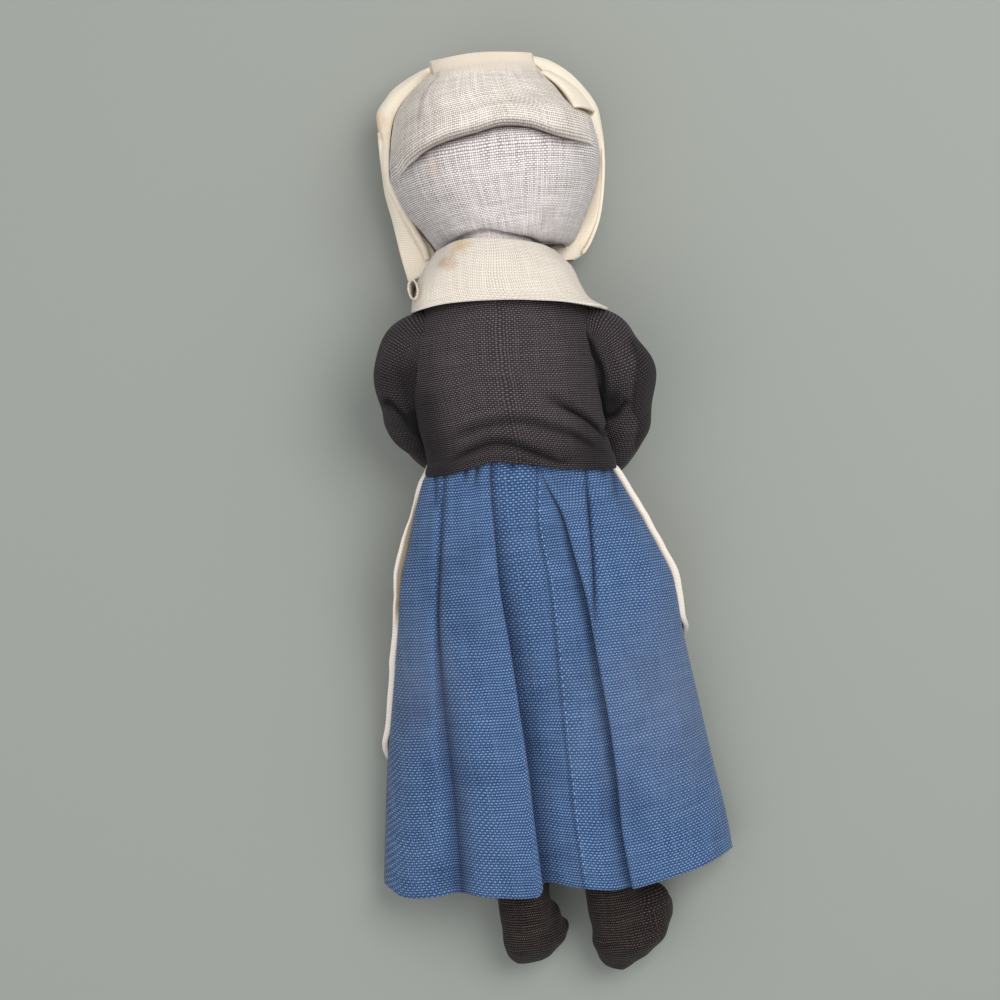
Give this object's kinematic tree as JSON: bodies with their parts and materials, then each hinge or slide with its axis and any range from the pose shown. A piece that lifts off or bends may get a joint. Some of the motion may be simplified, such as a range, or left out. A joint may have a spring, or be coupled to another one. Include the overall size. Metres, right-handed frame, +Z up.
{
  "type": "cloth folk art doll",
  "caption": "Stuffed cloth doll of a country woman in a linen bonnet, neckerchief, dark jacket, gathered skirt and apron, lying face down.",
  "frame": {"origin": "on the table, under the middle of the doll's outline seen from above", "axes": "+Y points to the top of the head, +Z up out of the doll's back, +X to the doll's right"},
  "size_m": [0.1068, 0.2826, 0.0545],
  "materials": {
    "cap_linen": "coarse cream linen with slubs",
    "kerchief_linen": "soft white linen, a little stained",
    "apron_linen": "plain white linen",
    "jacket_weave": "loose black-brown weave",
    "skirt_weave": "coarse blue plain weave",
    "stocking_weave": "black-brown weave, worn at heel and toe",
    "body_muslin": "plain muslin",
    "cotton_fill": "loose cotton stuffing",
    "binding_tape": "plain cotton tape"
  },
  "bodies": {
    "torso": {"torso_skin": "body_muslin", "torso_stuffing": "cotton_fill", "jacket_body": "jacket_weave", "kerchief": "kerchief_linen", "skirt_waistband": "skirt_weave", "apron_waistband": "binding_tape"},
    "neck": {"neck": "body_muslin"},
    "head": {"head_skin": "body_muslin", "head_stuffing": "cotton_fill", "bonnet_crown": "cap_linen", "bonnet_band": "cap_linen", "bonnet_flap": "cap_linen", "bonnet_brim": "cap_linen"},
    "arm_left": {"arm_skin_left": "body_muslin", "arm_stuffing_left": "cotton_fill", "sleeve_left": "jacket_weave"},
    "arm_right": {"arm_skin_right": "body_muslin", "arm_stuffing_right": "cotton_fill", "sleeve_right": "jacket_weave"},
    "hips": {"hip_flap": "body_muslin", "skirt": "skirt_weave", "apron": "apron_linen"},
    "leg_left": {"leg_skin_left": "stocking_weave", "leg_stuffing_left": "cotton_fill"},
    "leg_right": {"leg_skin_right": "stocking_weave", "leg_stuffing_right": "cotton_fill"}
  },
  "joints": [
    {"name": "neck_nod", "type": "hinge", "parent": "torso", "child": "neck", "pos_m": [0.0026, 0.07186, 0.032], "axis": [1, 0, 0], "range_deg": [-10, 10]},
    {"name": "neck_turn", "type": "hinge", "parent": "neck", "child": "head", "pos_m": [0.0026, 0.07186, 0.032], "axis": [0, 1, 0], "range_deg": [-20, 20]},
    {"name": "shoulder_left", "type": "hinge", "parent": "torso", "child": "arm_left", "pos_m": [-0.0286, 0.05986, 0.035], "axis": [0, 0, -1], "range_deg": [0, 50]},
    {"name": "shoulder_right", "type": "hinge", "parent": "torso", "child": "arm_right", "pos_m": [0.0338, 0.05986, 0.035], "axis": [0, 0, 1], "range_deg": [0, 50]},
    {"name": "hip_fold", "type": "hinge", "parent": "torso", "child": "hips", "pos_m": [0.0026, 0.00646, 0.0294], "axis": [1, 0, 0], "range_deg": [-15, 30], "deforming": ["skirt", "apron"]},
    {"name": "leg_spread_left", "type": "hinge", "parent": "hips", "child": "leg_left", "pos_m": [-0.0094, -0.00034, 0.0294], "axis": [0, 0, -1], "range_deg": [-1, 8]},
    {"name": "leg_spread_right", "type": "hinge", "parent": "hips", "child": "leg_right", "pos_m": [0.0146, -0.00034, 0.0294], "axis": [0, 0, 1], "range_deg": [-1, 8]}
  ]
}
